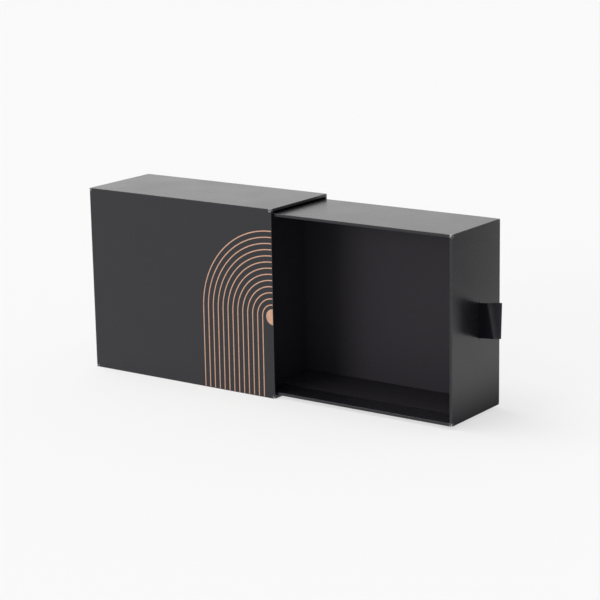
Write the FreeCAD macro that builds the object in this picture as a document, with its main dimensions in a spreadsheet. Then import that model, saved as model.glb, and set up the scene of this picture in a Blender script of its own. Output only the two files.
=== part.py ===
"""A rigid drawer gift box: a paper-wrapped greyboard sleeve, closed at one end, and a tray that slides out.

Frame: +X is the way the tray slides out, +Z is up, and the origin is the centre of the sleeve's underside.
The box stands on a narrow long side, so the tray's open side and the sleeve's decorated broad face both look
along -Y. Millimetres.
"""

import FreeCAD
import Part
import Sketcher
import math
import os

# ----------------------------------------------------------------------------------------------------
# Driving dimensions: (alias, millimetres, what it is)
# ----------------------------------------------------------------------------------------------------
DIMENSIONS = [
    ("sleeve_length", 170.0, "sleeve, outside, along the slide"),
    ("sleeve_depth", 70.0, "sleeve, outside, front to rear"),
    ("sleeve_height", 140.0, "sleeve, outside, as it stands"),
    ("board", 1.8, "greyboard of the sleeve and the tray"),
    ("wrap", 0.17, "covering paper"),
    ("lining", 0.17, "lining paper"),
    ("edge_round", 0.3, "rounding of a covered edge"),
    ("tape", 0.06, "gummed corner tape"),
    ("tape_leg", 12.0, "width of a corner tape on each side of its corner"),
    ("mouth_turn_in", 18.0, "covering paper turned into the sleeve's mouth"),
    ("end_flap", 15.0, "covering paper folded over the closed end"),
    ("base_edge", 1.0, "from the sleeve's lower edges to the paper that covers its underside"),
    ("end_sheet", 0.15, "sheet that covers the closed end"),
    ("end_sheet_margin", 2.0, "bare border of the end sheet"),
    ("gap_base", 0.3, "clearance under the tray"),
    ("gap_top", 1.3, "clearance over the tray"),
    ("gap_face", 0.6, "clearance before and behind the tray"),
    ("gap_end", 0.35, "clearance behind the closed tray"),
    ("tray_out", 148.0, "how far the tray stands out of the sleeve"),
    ("tray_turn_in", 20.0, "covering paper turned in over the tray's rim"),
    ("ribbon", 0.3, "satin ribbon, one ply"),
    ("ribbon_width", 25.0, "satin ribbon"),
    ("ribbon_reach", 17.7, "pull loop, from the hinge line to the fold"),
    ("ribbon_fold", 1.1, "outer radius of the fold"),
    ("ribbon_root", 0.4, "outer radius of the loop's root"),
    ("ribbon_stand_off", 0.45, "hinge line of the loop, from the tray's face"),
    ("ribbon_tail", 14.0, "length of a ribbon tail inside the tray"),
    ("ribbon_shift", 3.8, "from the tray's middle to the slot, towards the rear"),
    ("ribbon_lift", 0.3, "from the tray's middle up to the ribbon's middle"),
    ("slot_side_room", 0.15, "room between the ribbon and the slot, on each side"),
    ("slot_end_room", 1.5, "room between the ribbon and the slot, at each end"),
    ("patch_card", 0.15, "card patch over the ribbon tails"),
    ("patch_border", 4.0, "glued border of the card patch"),
    ("foil", 0.04, "stamped foil"),
    ("arch_count", 13.0, "number of foil arches"),
    ("arch_pitch", 4.49, "from one arch line to the next"),
    ("arch_first", 9.0, "radius of the innermost arch, on its centre line"),
    ("arch_line", 0.8, "width of an arch line"),
    ("arch_centre", 61.1, "height of the arches' centre"),
    ("arch_foot", 0.6, "from an arch's foot to the sleeve's underside"),
    ("disc_radius", 5.8, "foil disc at the arches' centre"),
]

doc = FreeCAD.newDocument("drawer_gift_box")
sheet = doc.addObject("Spreadsheet::Sheet", "sizes")


def fill_sheet():
    """Writes the driving dimensions, one row each: what it is, then the value under its alias."""
    for row, (alias, value, words) in enumerate(DIMENSIONS, start=1):
        sheet.set(f"A{row}", words)
        sheet.set(f"B{row}", str(value))
        sheet.setAlias(f"B{row}", alias)
    doc.recompute()


fill_sheet()


def cell(alias):
    """A driving dimension as an expression."""
    return f"<<sizes>>.{alias}"


# Stacks of layers and inner faces, as expressions of the driving dimensions.
WALL = f"({cell('wrap')} + {cell('board')} + {cell('wrap')})"
CLOSED_END = f"({cell('end_sheet')} + {cell('wrap')} + {cell('board')} + {cell('lining')})"
SLEEVE_HALF = f"({cell('sleeve_length')} / 2)"
SLEEVE_HALF_DEPTH = f"({cell('sleeve_depth')} / 2)"
MOUTH = SLEEVE_HALF

# The sleeve's greyboard shell, measured over the board.
SHELL_X0 = f"(-{SLEEVE_HALF} + {cell('end_sheet')} + {cell('wrap')})"
SHELL_X1 = f"({MOUTH} - {cell('wrap')})"
SHELL_LENGTH = f"({SHELL_X1} - {SHELL_X0})"
SHELL_DEPTH = f"({cell('sleeve_depth')} - 2 * {cell('wrap')})"
SHELL_HEIGHT = f"({cell('sleeve_height')} - 2 * {cell('wrap')})"
SHELL_INNER_DEPTH = f"({SHELL_DEPTH} - 2 * {cell('board')})"
SHELL_INNER_HEIGHT = f"({SHELL_HEIGHT} - 2 * {cell('board')})"

# The passage that the tray slides in.
PASSAGE_DEPTH = f"({SHELL_INNER_DEPTH} - 2 * {cell('lining')})"
PASSAGE_HEIGHT = f"({SHELL_INNER_HEIGHT} - 2 * {cell('lining')})"
PASSAGE_X0 = f"(-{SLEEVE_HALF} + {CLOSED_END})"
PASSAGE_Z0 = f"({cell('wrap')} + {cell('board')} + {cell('lining')})"

# The tray, measured over its paper, with its clearances in the passage.
TRAY_LENGTH = f"({cell('sleeve_length')} - {CLOSED_END} - {cell('gap_end')})"
TRAY_DEPTH = f"({PASSAGE_DEPTH} - 2 * {cell('gap_face')})"
TRAY_HEIGHT = f"({PASSAGE_HEIGHT} - {cell('gap_base')} - {cell('gap_top')})"
TRAY_X1 = f"({MOUTH} + {cell('tray_out')})"
TRAY_X0 = f"({TRAY_X1} - {TRAY_LENGTH})"
TRAY_Y0 = f"(-{TRAY_DEPTH} / 2)"
TRAY_Z0 = f"({PASSAGE_Z0} + {cell('gap_base')})"
TRAY_MID_Z = f"({TRAY_Z0} + {TRAY_HEIGHT} / 2)"

# The tray's greyboard, measured over the board, and the well inside it.
CRATE_X0 = f"({TRAY_X0} + {cell('wrap')})"
CRATE_Y0 = f"({TRAY_Y0} + {cell('wrap')})"
CRATE_Z0 = f"({TRAY_Z0} + {cell('wrap')})"
CRATE_LENGTH = f"({TRAY_LENGTH} - 2 * {cell('wrap')})"
CRATE_DEPTH = f"({TRAY_DEPTH} - 2 * {cell('wrap')})"
CRATE_HEIGHT = f"({TRAY_HEIGHT} - 2 * {cell('wrap')})"
CRATE_WALL_DEPTH = f"({CRATE_DEPTH} - {cell('board')})"
CRATE_INNER_LENGTH = f"({CRATE_LENGTH} - 2 * {cell('board')})"
CRATE_INNER_HEIGHT = f"({CRATE_HEIGHT} - 2 * {cell('board')})"
WELL_LENGTH = f"({TRAY_LENGTH} - 2 * {WALL})"
WELL_HEIGHT = f"({TRAY_HEIGHT} - 2 * {WALL})"
WELL_X0 = f"({TRAY_X0} + {WALL})"
WELL_X1 = f"({TRAY_X1} - {WALL})"
WELL_Z0 = f"({TRAY_Z0} + {WALL})"
FLOOR_Y = f"({CRATE_Y0} + {CRATE_WALL_DEPTH})"

SLOT_Y = cell("ribbon_shift")
SLOT_Z = f"({TRAY_MID_Z} + {cell('ribbon_lift')})"
SLOT_WIDTH = f"(2 * {cell('ribbon')} + 2 * {cell('slot_side_room')})"
SLOT_LENGTH = f"({cell('ribbon_width')} + 2 * {cell('slot_end_room')})"

OVERCUT = "1"  # how far a cutting block runs past what it cuts, in millimetres
BLOCK_EDGES = 12


# ----------------------------------------------------------------------------------------------------
# Building blocks
# ----------------------------------------------------------------------------------------------------
def bind(target, **expressions):
    """Ties properties of an object to expressions; x, y and z set its place."""
    for name, expression in expressions.items():
        path = f".Placement.Base.{name}" if name in ("x", "y", "z") else name
        target.setExpression(path, expression)
    return target


def block(name, size, place):
    """A plain Part box with its size and its lowest corner as expressions."""
    box = doc.addObject("Part::Box", name)
    bind(box, Length=size[0], Width=size[1], Height=size[2])
    return bind(box, x=place[0], y=place[1], z=place[2])


def join(kind, name, first, second):
    """A boolean of two objects; its name is its label too."""
    piece = doc.addObject(kind, name)
    piece.Base = first
    piece.Tool = second
    piece.Label = name
    return piece


def cut(name, base, tool):
    return join("Part::Cut", name, base, tool)


def fuse(name, first, second):
    return join("Part::Fuse", name, first, second)


def body_plane(body, role):
    """One of a body's own origin planes."""
    return next(f for f in body.Origin.OriginFeatures if f.Role == role)


def rectangle_sketch(body, name, wide, tall, left="0", low="0"):
    """A fully constrained rectangle on the body's XY plane, its corner at (left, low)."""
    sketch = body.newObject("Sketcher::SketchObject", name)
    sketch.AttachmentSupport = [(body_plane(body, "XY_Plane"), "")]
    sketch.MapMode = "FlatFace"
    corners = [(1, 1), (11, 1), (11, 11), (1, 11)]
    for (x0, y0), (x1, y1) in zip(corners, corners[1:] + corners[:1]):
        line = Part.LineSegment(FreeCAD.Vector(x0, y0, 0), FreeCAD.Vector(x1, y1, 0))
        sketch.addGeometry(line, False)
    for edge in range(4):
        sketch.addConstraint(Sketcher.Constraint("Coincident", edge, 2, (edge + 1) % 4, 1))
    for edge in (0, 2):
        sketch.addConstraint(Sketcher.Constraint("Horizontal", edge))
    for edge in (1, 3):
        sketch.addConstraint(Sketcher.Constraint("Vertical", edge))
    lengths = (("wide", 0, "DistanceX"), ("tall", 1, "DistanceY"))
    for label, edge, kind in lengths:
        index = sketch.addConstraint(Sketcher.Constraint(kind, edge, 1, edge, 2, 10.0))
        sketch.renameConstraint(index, label)
    for label, kind in (("left", "DistanceX"), ("low", "DistanceY")):
        index = sketch.addConstraint(Sketcher.Constraint(kind, -1, 1, 0, 1, 1.0))
        sketch.renameConstraint(index, label)
    for label, expression in (("wide", wide), ("tall", tall), ("left", left), ("low", low)):
        sketch.setExpression(f".Constraints.{label}", expression)
    return sketch


def pad(body, name, sketch, length):
    feature = body.newObject("PartDesign::Pad", name)
    feature.Profile = sketch
    feature.setExpression("Length", length)
    sketch.Visibility = False
    return feature


def sheet_piece(label, size, place):
    """A flat rectangular piece of board or paper: a sketched rectangle, padded, then set in its place."""
    body = doc.addObject("PartDesign::Body", label)
    body.Label = label
    outline = rectangle_sketch(body, f"{label}_outline", size[0], size[1])
    pad(body, f"{label}_pad", outline, size[2])
    return bind(body, x=place[0], y=place[1], z=place[2])


def rounded_block(name, size, place):
    """A block as the covering paper's outer faces bound it, every edge rounded."""
    body = sheet_piece(name, size, place)
    sharp = body.Tip
    fillet = body.newObject("PartDesign::Fillet", f"{name}_edges")
    fillet.Base = (sharp, [f"Edge{n}" for n in range(1, BLOCK_EDGES + 1)])
    bind(fillet, Radius=cell("edge_round"))
    body.Tip = fillet
    return body


def corner_tapes(label, run_axis, run, run_start, low, high):
    """Four L-shaped tapes over the corners of a board shell.

    run_axis is the axis that the tapes run along; low and high hold the shell's corners on the other two.
    """
    across = [axis for axis in "xyz" if axis != run_axis]
    tapes = []
    for i, side_a in enumerate((-1, 1)):
        for k, side_b in enumerate((-1, 1)):
            legs = []
            for thin, flat in ((0, 1), (1, 0)):
                size, place = {}, {}
                size[run_axis], place[run_axis] = run, run_start
                for n, side in ((0, side_a), (1, side_b)):
                    axis = across[n]
                    if n == thin:
                        size[axis] = cell("tape")
                        place[axis] = f"({low[n]} - {cell('tape')})" if side < 0 else high[n]
                    else:
                        size[axis] = f"({cell('tape_leg')} + {cell('tape')})"
                        start_low = f"({low[n]} - {cell('tape')})"
                        start_high = f"({high[n]} - {cell('tape_leg')})"
                        place[axis] = start_low if side < 0 else start_high
                name = f"{label}_{i}{k}_leg_{flat}"
                legs.append(block(name, [size[a] for a in "xyz"], [place[a] for a in "xyz"]))
            tapes.append(fuse(f"{label}_{i}{k}", *legs))
    group = doc.addObject("Part::Compound", label)
    group.Links = tapes
    group.Label = label
    return group


# ----------------------------------------------------------------------------------------------------
# The sleeve
# ----------------------------------------------------------------------------------------------------
def sleeve_boards():
    """Five greyboards: two broad ones, two narrow ones between them and one that closes the end."""
    rear_y = f"({SHELL_DEPTH} / 2 - {cell('board')})"
    front_y = f"(-{SHELL_DEPTH} / 2)"
    inner_y = f"(-{SHELL_INNER_DEPTH} / 2)"
    base_z = cell("wrap")
    top_z = f"({cell('sleeve_height')} - {cell('wrap')} - {cell('board')})"
    inner_z = f"({cell('wrap')} + {cell('board')})"
    broad = (SHELL_LENGTH, cell("board"), SHELL_HEIGHT)
    narrow = (SHELL_LENGTH, SHELL_INNER_DEPTH, cell("board"))
    end = (cell("board"), SHELL_INNER_DEPTH, SHELL_INNER_HEIGHT)
    return [
        sheet_piece("sleeve_front_board", broad, (SHELL_X0, front_y, base_z)),
        sheet_piece("sleeve_rear_board", broad, (SHELL_X0, rear_y, base_z)),
        sheet_piece("sleeve_top_board", narrow, (SHELL_X0, inner_y, top_z)),
        sheet_piece("sleeve_base_board", narrow, (SHELL_X0, inner_y, base_z)),
        sheet_piece("sleeve_end_board", end, (SHELL_X0, inner_y, inner_z)),
    ]


def sleeve_tapes():
    half = f"({SHELL_DEPTH} / 2)"
    top = f"({cell('sleeve_height')} - {cell('wrap')})"
    low = (f"(-{half})", cell("wrap"))
    return corner_tapes("sleeve_corner_tapes", "x", SHELL_LENGTH, SHELL_X0, low, (half, top))


def sleeve_wrap(tapes):
    """The covering paper: four outer faces, flaps over the closed end, and a turn-in inside the mouth."""
    paper_x0 = f"(-{SLEEVE_HALF} + {cell('end_sheet')})"
    paper_length = f"({cell('sleeve_length')} - {cell('end_sheet')})"
    outside = rounded_block(
        "sleeve_paper_block",
        (paper_length, cell("sleeve_depth"), cell("sleeve_height")),
        (paper_x0, f"(-{SLEEVE_HALF_DEPTH})", "0"),
    )
    shell = block(
        "sleeve_shell_block",
        (SHELL_LENGTH, SHELL_DEPTH, SHELL_HEIGHT),
        (SHELL_X0, f"(-{SHELL_DEPTH} / 2)", cell("wrap")),
    )
    skin = cut("sleeve_skin", outside, shell)
    window = block(
        "sleeve_end_window",
        (
            f"({cell('wrap')} + {OVERCUT})",
            f"({cell('sleeve_depth')} - 2 * {cell('end_flap')})",
            f"({cell('sleeve_height')} - 2 * {cell('end_flap')})",
        ),
        (
            f"({paper_x0} - {OVERCUT})",
            f"(-{SLEEVE_HALF_DEPTH} + {cell('end_flap')})",
            cell("end_flap"),
        ),
    )
    flapped = cut("sleeve_skin_flapped", skin, window)
    turn_in_x0 = f"({SHELL_X1} - {cell('mouth_turn_in')})"
    turn_in = block(
        "mouth_turn_in_block",
        (cell("mouth_turn_in"), SHELL_INNER_DEPTH, SHELL_INNER_HEIGHT),
        (turn_in_x0, f"(-{SHELL_INNER_DEPTH} / 2)", f"({cell('wrap')} + {cell('board')})"),
    )
    joined = fuse("sleeve_skin_turned_in", flapped, turn_in)
    passage = block(
        "mouth_passage",
        (f"({cell('mouth_turn_in')} + {cell('wrap')} + 2 * {OVERCUT})", PASSAGE_DEPTH, PASSAGE_HEIGHT),
        (f"({turn_in_x0} - {OVERCUT})", f"(-{PASSAGE_DEPTH} / 2)", PASSAGE_Z0),
    )
    opened = cut("sleeve_skin_opened", joined, passage)
    taped = cut("sleeve_skin_taped", opened, tapes)
    return cut("sleeve_wrap", taped, underside_block("sleeve_underside_window"))


def underside_block(name):
    """The room between the wrap's lower edges, from the boards down."""
    edge = cell("base_edge")
    return block(
        name,
        (
            f"({cell('sleeve_length')} - 2 * {edge})",
            f"({cell('sleeve_depth')} - 2 * {edge})",
            cell("wrap"),
        ),
        (f"(-{SLEEVE_HALF} + {edge})", f"(-{SLEEVE_HALF_DEPTH} + {edge})", "0"),
    )


def sleeve_base_paper(tapes):
    """The paper that closes the wrap on the underside, which the box stands on."""
    return cut("sleeve_base_paper", underside_block("base_paper_block"), tapes)


def sleeve_end_sheet():
    """The sheet over the closed end: it covers the flaps and fills the window between them."""
    margin = cell("end_sheet_margin")
    cover = block(
        "end_sheet_cover",
        (
            cell("end_sheet"),
            f"({cell('sleeve_depth')} - 2 * {margin})",
            f"({cell('sleeve_height')} - 2 * {margin})",
        ),
        (f"(-{SLEEVE_HALF})", f"(-{SLEEVE_HALF_DEPTH} + {margin})", margin),
    )
    middle = block(
        "end_sheet_middle",
        (
            f"({cell('wrap')} + {cell('end_sheet')})",
            f"({cell('sleeve_depth')} - 2 * {cell('end_flap')})",
            f"({cell('sleeve_height')} - 2 * {cell('end_flap')})",
        ),
        (f"(-{SLEEVE_HALF})", f"(-{SLEEVE_HALF_DEPTH} + {cell('end_flap')})", cell("end_flap")),
    )
    return fuse("sleeve_end_sheet", cover, middle)


def sleeve_linings():
    """Lining paper: a tube from the turn-in to the closed end, and a sheet on the end board."""
    tube_x0 = f"({PASSAGE_X0} - {cell('lining')})"
    tube_length = f"({SHELL_X1} - {cell('mouth_turn_in')} - {tube_x0})"
    outer_place = (tube_x0, f"(-{SHELL_INNER_DEPTH} / 2)", f"({cell('wrap')} + {cell('board')})")
    outer = block("lining_block", (tube_length, SHELL_INNER_DEPTH, SHELL_INNER_HEIGHT), outer_place)
    inner = block(
        "lining_passage",
        (f"({tube_length} + 2 * {OVERCUT})", PASSAGE_DEPTH, PASSAGE_HEIGHT),
        (f"({tube_x0} - {OVERCUT})", f"(-{PASSAGE_DEPTH} / 2)", PASSAGE_Z0),
    )
    tube = cut("sleeve_lining", outer, inner)
    end = sheet_piece(
        "sleeve_end_lining",
        (cell("lining"), PASSAGE_DEPTH, PASSAGE_HEIGHT),
        (tube_x0, f"(-{PASSAGE_DEPTH} / 2)", PASSAGE_Z0),
    )
    return [tube, end]


# ----------------------------------------------------------------------------------------------------
# The foil ornament: nested half arches round a half disc, cut off by the mouth
# ----------------------------------------------------------------------------------------------------
def foil_sketch(name):
    """A sketch on the sleeve's broad front face, its origin at the arches' centre."""
    sketch = doc.addObject("Sketcher::SketchObject", name)
    sketch.Placement = FreeCAD.Placement(
        FreeCAD.Vector(0, 0, 0), FreeCAD.Rotation(FreeCAD.Vector(1, 0, 0), 90)
    )
    centre_x = f"({MOUTH} - {cell('edge_round')})"
    return bind(sketch, x=centre_x, y=f"(-{SLEEVE_HALF_DEPTH})", z=cell("arch_centre"))


def stamp(name, sketch):
    """Raises a sketch by the foil's thickness, out of the front face."""
    piece = doc.addObject("Part::Extrusion", name)
    piece.Base = sketch
    piece.DirMode = "Custom"
    piece.Dir = FreeCAD.Vector(0, -1, 0)
    piece.Solid = True
    sketch.Visibility = False
    return bind(piece, LengthFwd=cell("foil"))


def quarter_arc(radius):
    """A quarter circle round the sketch's origin, from straight up to the left."""
    circle = Part.Circle(FreeCAD.Vector(0, 0, 0), FreeCAD.Vector(0, 0, 1), radius)
    return Part.ArcOfCircle(circle, math.radians(90), math.radians(180))


def foil_arch(index):
    """One half arch: a quarter ring on top of a straight leg that runs down to the sleeve's lower edge."""
    sketch = foil_sketch(f"arch_{index}_outline")
    middle = sheet.get("arch_first") + index * sheet.get("arch_pitch")
    half_line = sheet.get("arch_line") / 2
    outer, inner = middle + half_line, middle - half_line
    drop = sheet.get("arch_centre") - sheet.get("arch_foot")
    lines = [
        ((-outer, 0), (-outer, -drop)),
        ((-outer, -drop), (-inner, -drop)),
        ((-inner, -drop), (-inner, 0)),
        ((0, inner), (0, outer)),
    ]
    sketch.addGeometry(quarter_arc(outer), False)
    sketch.addGeometry(quarter_arc(inner), False)
    for (x0, y0), (x1, y1) in lines:
        line = Part.LineSegment(FreeCAD.Vector(x0, y0, 0), FreeCAD.Vector(x1, y1, 0))
        sketch.addGeometry(line, False)
    for first, first_end, second, second_end in (
        (0, 2, 2, 1), (2, 2, 3, 1), (3, 2, 4, 1), (4, 2, 1, 2), (1, 1, 5, 1), (5, 2, 0, 1),
    ):
        sketch.addConstraint(Sketcher.Constraint("Coincident", first, first_end, second, second_end))
    for arc in (0, 1):
        sketch.addConstraint(Sketcher.Constraint("Coincident", arc, 3, -1, 1))
    for line in (2, 4):
        sketch.addConstraint(Sketcher.Constraint("Vertical", line))
    sketch.addConstraint(Sketcher.Constraint("Horizontal", 3))
    sketch.addConstraint(Sketcher.Constraint("PointOnObject", 5, 1, -2))
    sketch.addConstraint(Sketcher.Constraint("PointOnObject", 5, 2, -2))
    sketch.addConstraint(Sketcher.Constraint("PointOnObject", 2, 1, -1))
    sketch.addConstraint(Sketcher.Constraint("PointOnObject", 4, 2, -1))
    radius = f"{cell('arch_first')} + {index} * {cell('arch_pitch')}"
    leg = f"{cell('arch_centre')} - {cell('arch_foot')}"
    sizes = (
        ("outer", Sketcher.Constraint("Radius", 0, outer), f"{radius} + {cell('arch_line')} / 2"),
        ("inner", Sketcher.Constraint("Radius", 1, inner), f"{radius} - {cell('arch_line')} / 2"),
        ("leg", Sketcher.Constraint("DistanceY", 2, 2, 2, 1, drop), leg),
    )
    for label, constraint, expression in sizes:
        number = sketch.addConstraint(constraint)
        sketch.renameConstraint(number, label)
        sketch.setExpression(f".Constraints.{label}", expression)
    return stamp(f"arch_{index}", sketch)


def foil_arches():
    group = doc.addObject("Part::Compound", "foil_arches")
    group.Links = [foil_arch(i) for i in range(round(sheet.get("arch_count")))]
    group.Label = "foil_arches"
    return group


def foil_disc():
    """The half disc that the arches stand round."""
    disc = doc.addObject("Part::Cylinder", "foil_disc")
    disc.Label = "foil_disc"
    disc.Angle = 180
    upright = FreeCAD.Rotation(FreeCAD.Vector(1, 0, 0), 90)
    disc.Placement.Rotation = upright.multiply(FreeCAD.Rotation(FreeCAD.Vector(0, 0, 1), 90))
    bind(disc, Radius=cell("disc_radius"), Height=cell("foil"))
    centre_x = f"({MOUTH} - {cell('edge_round')})"
    return bind(disc, x=centre_x, y=f"(-{SLEEVE_HALF_DEPTH})", z=cell("arch_centre"))


# ----------------------------------------------------------------------------------------------------
# The tray
# ----------------------------------------------------------------------------------------------------
def slot_block(name, reach_x0, reach):
    """The ribbon's slot as a cutting block that runs along X."""
    return block(
        name,
        (reach, SLOT_WIDTH, SLOT_LENGTH),
        (reach_x0, f"({SLOT_Y} - {SLOT_WIDTH} / 2)", f"({SLOT_Z} - {SLOT_LENGTH} / 2)"),
    )


def tray_boards():
    """Five greyboards: a broad floor and four walls on it, the two long walls outside the two short ones."""
    long_wall = (CRATE_LENGTH, CRATE_WALL_DEPTH, cell("board"))
    short_wall = (cell("board"), CRATE_WALL_DEPTH, CRATE_INNER_HEIGHT)
    inner_z = f"({CRATE_Z0} + {cell('board')})"
    top_z = f"({CRATE_Z0} + {CRATE_HEIGHT} - {cell('board')})"
    pull_x = f"({CRATE_X0} + {CRATE_LENGTH} - {cell('board')})"
    floor = (CRATE_LENGTH, cell("board"), CRATE_HEIGHT)
    return [
        sheet_piece("tray_floor_board", floor, (CRATE_X0, FLOOR_Y, CRATE_Z0)),
        sheet_piece("tray_top_board", long_wall, (CRATE_X0, CRATE_Y0, top_z)),
        sheet_piece("tray_base_board", long_wall, (CRATE_X0, CRATE_Y0, CRATE_Z0)),
        sheet_piece("tray_back_board", short_wall, (CRATE_X0, CRATE_Y0, inner_z)),
        slotted_wall(short_wall, (pull_x, CRATE_Y0, inner_z)),
    ]


def slotted_wall(size, place):
    """The wall that carries the ribbon: a padded rectangle with the slot pocketed through it."""
    label = "tray_pull_board"
    body = doc.addObject("PartDesign::Body", label)
    body.Label = label
    outline = rectangle_sketch(body, "pull_board_outline", size[1], size[2])
    pad(body, "pull_board_pad", outline, size[0])
    slot = rectangle_sketch(
        body,
        "pull_board_slot",
        SLOT_WIDTH,
        SLOT_LENGTH,
        f"({SLOT_Y} - ({place[1]}) - {SLOT_WIDTH} / 2)",
        f"({SLOT_Z} - ({place[2]}) - {SLOT_LENGTH} / 2)",
    )
    pocket = body.newObject("PartDesign::Pocket", "pull_board_pocket")
    pocket.Profile = slot
    pocket.Type = "ThroughAll"
    pocket.Midplane = True
    slot.Visibility = False
    # The sketch's x runs along Y, its y along Z, and the pad along X.
    body.Placement.Rotation = FreeCAD.Rotation(FreeCAD.Vector(1, 1, 1), 120)
    bind(body, x=place[0], y=place[1], z=place[2])
    return body


def tray_tapes():
    low = (CRATE_X0, CRATE_Z0)
    high = (f"({CRATE_X0} + {CRATE_LENGTH})", f"({CRATE_Z0} + {CRATE_HEIGHT})")
    return corner_tapes("tray_corner_tapes", "y", CRATE_WALL_DEPTH, CRATE_Y0, low, high)


def tray_well(name):
    """The hollow of the tray, open to the front."""
    size = (WELL_LENGTH, f"({CRATE_WALL_DEPTH} + {cell('wrap')} + {OVERCUT})", WELL_HEIGHT)
    return block(name, size, (WELL_X0, f"({TRAY_Y0} - {OVERCUT})", WELL_Z0))


def wall_lining_block(name):
    """The boards' hollow from the end of the turned-in cover down to the floor."""
    start = f"({TRAY_Y0} + {cell('tray_turn_in')})"
    size = (CRATE_INNER_LENGTH, f"({FLOOR_Y} - {start})", CRATE_INNER_HEIGHT)
    return block(name, size, (f"({CRATE_X0} + {cell('board')})", start, f"({CRATE_Z0} + {cell('board')})"))


def wall_slot(name):
    """The ribbon's slot through the pull end's wall and its papers."""
    return slot_block(name, f"({WELL_X1} - {OVERCUT})", f"({WALL} + 2 * {OVERCUT})")


def tray_wrap(tapes):
    """The covering paper: over the floor and the walls outside, over the rim and a little way inside."""
    size = (TRAY_LENGTH, TRAY_DEPTH, TRAY_HEIGHT)
    outside = rounded_block("tray_paper_block", size, (TRAY_X0, TRAY_Y0, TRAY_Z0))
    crate = block(
        "tray_crate_block", (CRATE_LENGTH, CRATE_DEPTH, CRATE_HEIGHT), (CRATE_X0, CRATE_Y0, CRATE_Z0)
    )
    skin = cut("tray_skin", outside, crate)
    inside = block(
        "tray_inside_block",
        (CRATE_INNER_LENGTH, CRATE_WALL_DEPTH, CRATE_INNER_HEIGHT),
        (f"({CRATE_X0} + {cell('board')})", CRATE_Y0, f"({CRATE_Z0} + {cell('board')})"),
    )
    joined = fuse("tray_skin_turned_in", skin, inside)
    opened = cut("tray_skin_opened", joined, tray_well("tray_well"))
    slotted = cut("tray_skin_slotted", opened, wall_slot("wrap_slot"))
    trimmed = cut("tray_skin_trimmed", slotted, wall_lining_block("wrap_trim"))
    return cut("tray_wrap", trimmed, tapes)


def tray_wall_lining():
    """The lining paper on the four walls, level with the turned-in cover that it meets."""
    hollowed = cut("wall_lining_hollowed", wall_lining_block("wall_lining_block"), tray_well("wall_lining_well"))
    return cut("tray_wall_lining", hollowed, wall_slot("wall_lining_slot"))


def tray_floor_lining():
    size = (WELL_LENGTH, cell("lining"), WELL_HEIGHT)
    place = (WELL_X0, f"({FLOOR_Y} - {cell('lining')})", WELL_Z0)
    return sheet_piece("tray_floor_lining", size, place)


# ----------------------------------------------------------------------------------------------------
# The ribbon pull: two tails glued inside, and a loop outside that bends at the slot
# ----------------------------------------------------------------------------------------------------
RIBBON_Z0 = f"({SLOT_Z} - {cell('ribbon_width')} / 2)"


def ribbon_tail(label, side):
    """One ply: through the slot, then along the wall's inside, towards the front (-1) or the rear (1)."""
    neck_y = f"({SLOT_Y} - {cell('ribbon')})" if side < 0 else SLOT_Y
    tail_y = f"({SLOT_Y} - {cell('ribbon_tail')})" if side < 0 else SLOT_Y
    neck = block(
        f"{label}_neck",
        (f"({WALL} + {cell('ribbon')})", cell("ribbon"), cell("ribbon_width")),
        (f"({WELL_X1} - {cell('ribbon')})", neck_y, RIBBON_Z0),
    )
    tail = block(
        f"{label}_flat",
        (cell("ribbon"), cell("ribbon_tail"), cell("ribbon_width")),
        (f"({WELL_X1} - {cell('ribbon')})", tail_y, RIBBON_Z0),
    )
    return fuse(label, neck, tail)


def ribbon_patch():
    """A card patch glued over the tails, hollowed where they lie."""
    border = cell("patch_border")
    depth = f"({cell('ribbon')} + {cell('patch_card')})"
    card = block(
        "patch_block",
        (depth, f"(2 * {cell('ribbon_tail')} + 2 * {border})", f"({cell('ribbon_width')} + 2 * {border})"),
        (
            f"({WELL_X1} - {depth})",
            f"({SLOT_Y} - {cell('ribbon_tail')} - {border})",
            f"({RIBBON_Z0} - {border})",
        ),
    )
    hollow = block(
        "patch_hollow",
        (cell("ribbon"), f"(2 * {cell('ribbon_tail')})", cell("ribbon_width")),
        (f"({WELL_X1} - {cell('ribbon')})", f"({SLOT_Y} - {cell('ribbon_tail')})", RIBBON_Z0),
    )
    return cut("ribbon_patch", card, hollow)


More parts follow.
